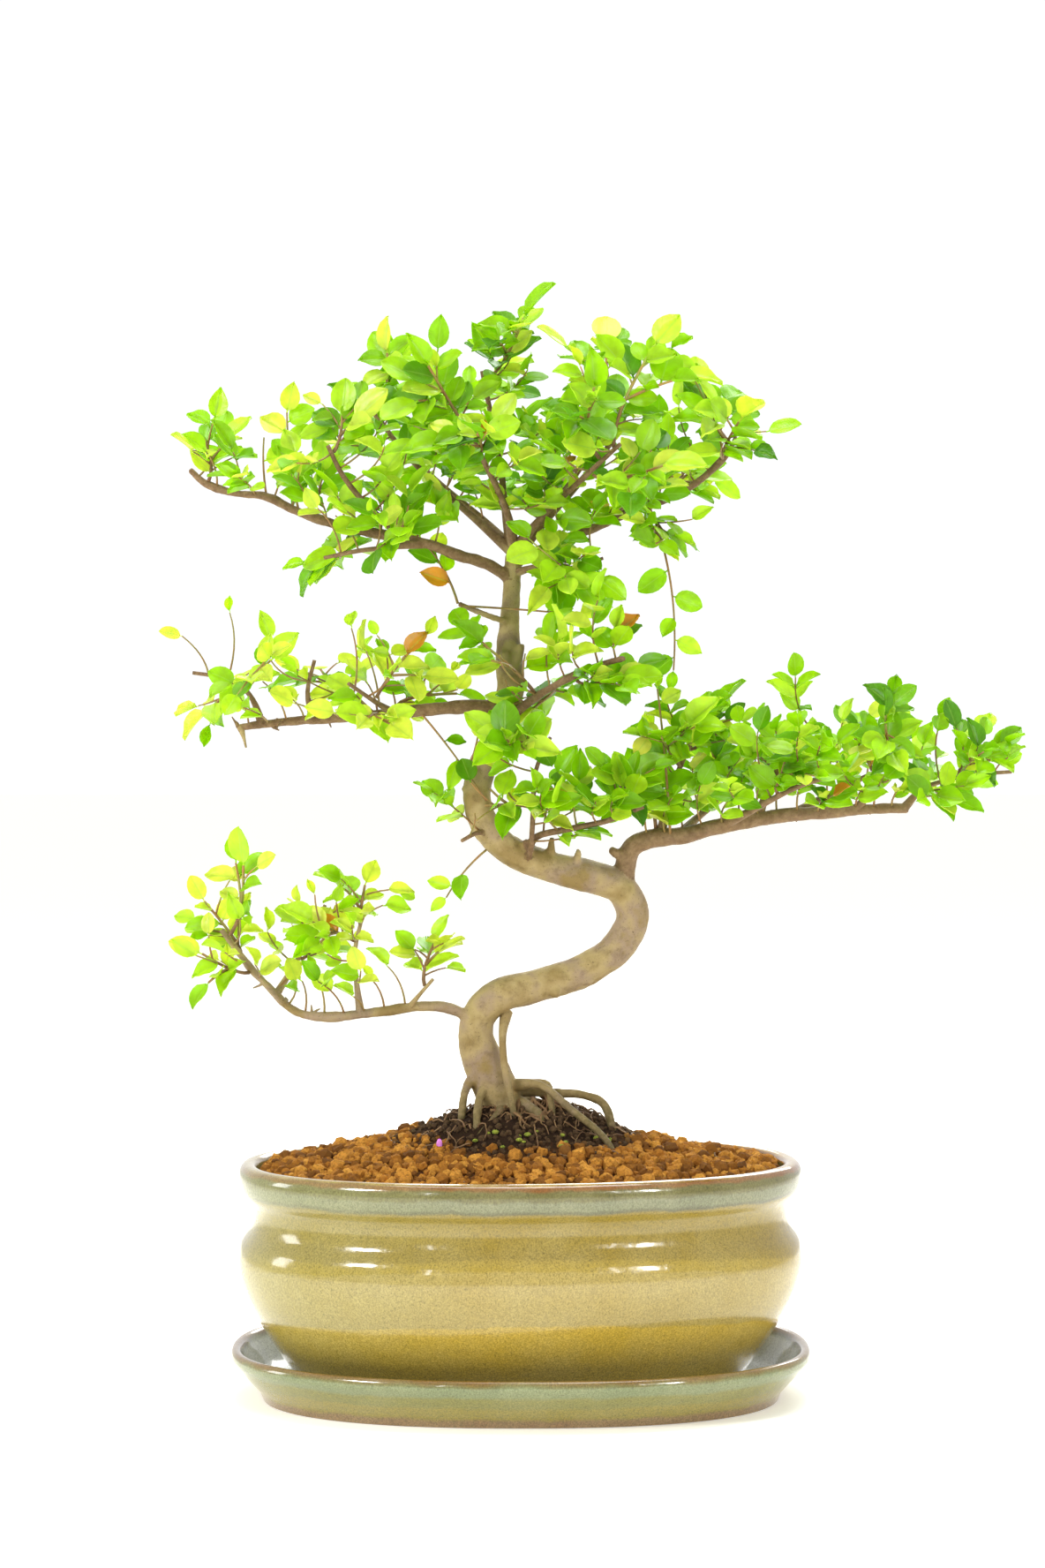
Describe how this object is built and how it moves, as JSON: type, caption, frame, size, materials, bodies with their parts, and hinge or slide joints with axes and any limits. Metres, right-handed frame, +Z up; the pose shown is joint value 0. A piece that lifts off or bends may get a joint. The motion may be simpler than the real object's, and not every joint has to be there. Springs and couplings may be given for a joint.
{
  "type": "potted bonsai tree",
  "caption": "Small leafy bonsai with a winding trunk and surface roots in a glazed oval pot, standing on a low glazed drip tray.",
  "frame": {"origin": "centre of the tray's underside", "axes": "+X to the right in the front view, +Y away from the front, +Z up along the trunk"},
  "size_m": [0.3514, 0.17, 0.4556],
  "materials": {
    "pot_glaze": "glossy banded glaze in olive, cream, blue-grey and brown, pale at the lip",
    "tray_glaze": "glossy blue-green to olive glaze over a bare brown foot, brown at the rim",
    "net": "dark moulded plastic netting",
    "soil": "loose orange-brown baked clay granules, matt, with dark humus round the roots",
    "bark": "smooth tan to grey living bark, matt",
    "leaf": "glossy fresh green leaves on thin woody twigs"
  },
  "bodies": {
    "root": {"tray": "tray_glaze", "pot": "pot_glaze", "drainage_mesh_left": "net", "drainage_mesh_right": "net", "soil": "soil", "trunk": "bark", "crown_tip_spray_1": "leaf", "crown_spray_1": "leaf", "crown_spray_2": "leaf", "crown_spray_3": "leaf", "crown_spray_4": "leaf", "crown_spray_5": "leaf", "crown_spray_6": "leaf", "crown_spray_7": "leaf", "crown_spray_8": "leaf", "crown_spray_9": "leaf", "crown_spray_10": "leaf", "crown_spray_11": "leaf", "crown_spray_12": "leaf", "crown_spray_13": "leaf", "crown_spray_14": "leaf", "crown_spray_15": "leaf", "crown_spray_16": "leaf", "crown_spray_17": "leaf", "crown_spray_18": "leaf", "low_crown_spray_1": "leaf", "low_crown_spray_2": "leaf", "low_crown_spray_3": "leaf", "low_crown_spray_4": "leaf", "low_crown_spray_5": "leaf", "left_spray_1": "leaf", "left_spray_2": "leaf", "left_spray_3": "leaf", "left_spray_4": "leaf", "left_spray_5": "leaf", "left_spray_6": "leaf", "front_spray_1": "leaf", "front_spray_2": "leaf", "front_spray_3": "leaf", "front_spray_4": "leaf", "front_spray_5": "leaf", "front_spray_6": "leaf", "right_spray_1": "leaf", "right_spray_2": "leaf", "right_spray_3": "leaf", "right_spray_4": "leaf", "right_spray_5": "leaf", "right_spray_6": "leaf", "right_spray_7": "leaf", "right_spray_8": "leaf", "right_spray_9": "leaf", "right_spray_10": "leaf", "low_left_spray_1": "leaf", "low_left_spray_2": "leaf", "low_left_spray_3": "leaf", "low_left_spray_4": "leaf", "low_left_spray_5": "leaf", "low_left_spray_6": "leaf", "low_tip_spray_1": "leaf"}
  },
  "joints": []
}
